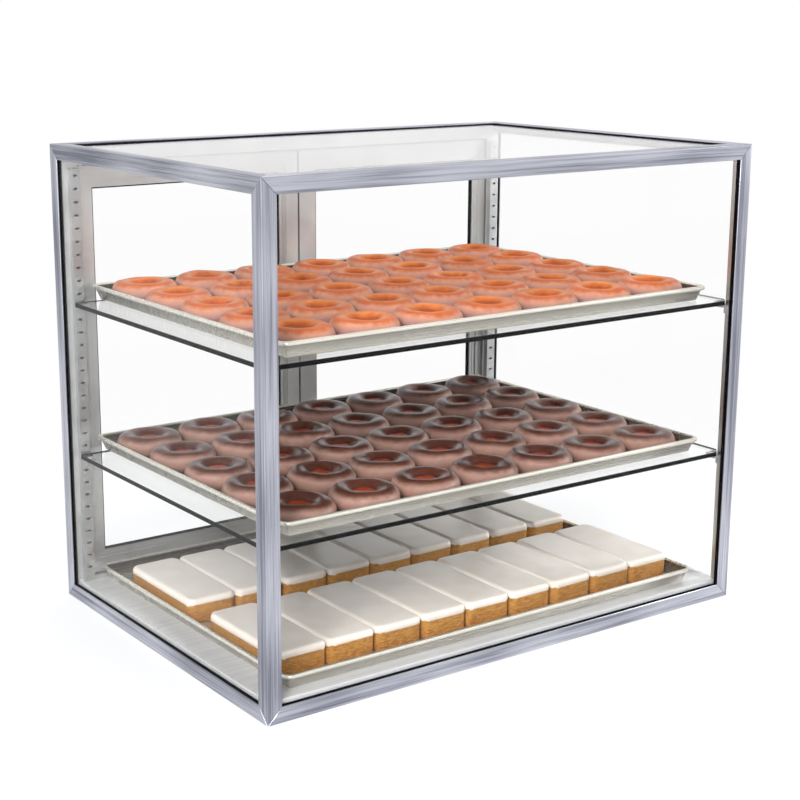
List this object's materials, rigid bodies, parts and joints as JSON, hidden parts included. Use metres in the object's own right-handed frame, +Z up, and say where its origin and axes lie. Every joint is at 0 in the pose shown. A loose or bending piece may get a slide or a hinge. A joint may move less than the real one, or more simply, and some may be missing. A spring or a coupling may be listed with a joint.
{
  "type": "countertop bakery display case",
  "caption": "Glass countertop bakery display case in a mitred steel angle frame, with rear pivot doors, glass shelves and sheet pans of doughnuts and iced bars.",
  "frame": {"origin": "centre of the case's footprint, on the counter", "axes": "+X to the right along the front glass, +Y from the front glass towards the rear doors, +Z up"},
  "size_m": [0.762, 0.534, 0.632],
  "materials": {
    "frame_steel": "fine brushed, bluish grey",
    "case_glass": "clear plate glass, polished",
    "black_rubber": "matt black extruded rubber",
    "bead_steel": "satin",
    "deck_steel": "satin folded sheet",
    "rear_aluminium": "warm grey satin anodised",
    "pilaster_steel": "near-white enamel with dark slots",
    "clip_steel": "bright zinc",
    "white_nylon": "moulded",
    "shelf_glass": "clear tempered glass, polished edges",
    "pan_aluminium": "satin drawn sheet with a rolled rim",
    "glazed_dough": "sugar-glazed orange-brown crust",
    "chocolate_dough": "shiny dark chocolate",
    "iced_sponge": "white icing over golden sponge",
    "door_aluminium": "warm grey satin anodised",
    "door_glass": "clear plate glass",
    "pivot_steel": "turned and plated"
  },
  "bodies": {
    "case": {"front_bottom_rail": "frame_steel", "rear_bottom_rail": "frame_steel", "left_bottom_rail": "frame_steel", "right_bottom_rail": "frame_steel", "front_top_rail": "frame_steel", "rear_top_rail": "frame_steel", "left_top_rail": "frame_steel", "right_top_rail": "frame_steel", "front_left_post": "frame_steel", "front_right_post": "frame_steel", "rear_left_post": "frame_steel", "rear_right_post": "frame_steel", "front_glass": "case_glass", "left_glass": "case_glass", "right_glass": "case_glass", "top_glass": "case_glass", "front_glass_gasket": "black_rubber", "side_glass_gaskets": "black_rubber", "top_glass_gasket": "black_rubber", "front_left_glass_bead": "bead_steel", "front_right_glass_bead": "bead_steel", "front_top_glass_bead": "bead_steel", "left_top_glass_bead": "bead_steel", "right_top_glass_bead": "bead_steel", "deck": "deck_steel", "left_jamb": "rear_aluminium", "right_jamb": "rear_aluminium", "door_header": "rear_aluminium", "door_sill": "rear_aluminium", "left_pilaster": "pilaster_steel", "right_pilaster": "pilaster_steel", "rear_shelf_clips": "clip_steel", "front_shelf_clips": "clip_steel", "pivot_bushes": "white_nylon", "magnet_catches": "white_nylon"},
    "left_door": {"left_door_hinge_stile": "door_aluminium", "left_door_meeting_stile": "door_aluminium", "left_door_top_rail": "door_aluminium", "left_door_bottom_rail": "door_aluminium", "left_door_glass": "door_glass", "left_door_gasket": "black_rubber", "left_door_pivots": "pivot_steel", "left_door_strike": "pivot_steel", "door_meeting_seal": "black_rubber"},
    "right_door": {"right_door_hinge_stile": "door_aluminium", "right_door_meeting_stile": "door_aluminium", "right_door_top_rail": "door_aluminium", "right_door_bottom_rail": "door_aluminium", "right_door_glass": "door_glass", "right_door_gasket": "black_rubber", "right_door_pivots": "pivot_steel", "right_door_strike": "pivot_steel"},
    "upper_shelf_body": {"upper_shelf": "shelf_glass"},
    "lower_shelf_body": {"lower_shelf": "shelf_glass"},
    "top_pan_body": {"top_pan": "pan_aluminium", "glazed_doughnuts": "glazed_dough"},
    "middle_pan_body": {"middle_pan": "pan_aluminium", "chocolate_doughnuts": "chocolate_dough"},
    "bottom_pan_body": {"bottom_pan": "pan_aluminium", "iced_bars": "iced_sponge"}
  },
  "joints": [
    {"name": "left_door_hinge", "type": "hinge", "parent": "case", "child": "left_door", "pos_m": [-0.349, 0.258, 0.316], "axis": [0, 0, 1], "range_deg": [0, 100]},
    {"name": "right_door_hinge", "type": "hinge", "parent": "case", "child": "right_door", "pos_m": [0.349, 0.258, 0.316], "axis": [0, 0, -1], "range_deg": [0, 100]},
    {"name": "upper_shelf_lift", "type": "slide", "parent": "case", "child": "upper_shelf_body", "axis": [0, 0, 1], "range_m": [0, 0.018]},
    {"name": "lower_shelf_lift", "type": "slide", "parent": "case", "child": "lower_shelf_body", "axis": [0, 0, 1], "range_m": [0, 0.018]},
    {"name": "top_pan_lift", "type": "slide", "parent": "upper_shelf_body", "child": "top_pan_body", "axis": [0, 0, 1], "range_m": [0, 0.06]},
    {"name": "middle_pan_lift", "type": "slide", "parent": "lower_shelf_body", "child": "middle_pan_body", "axis": [0, 0, 1], "range_m": [0, 0.06]},
    {"name": "bottom_pan_lift", "type": "slide", "parent": "case", "child": "bottom_pan_body", "axis": [0, 0, 1], "range_m": [0, 0.06]}
  ]
}
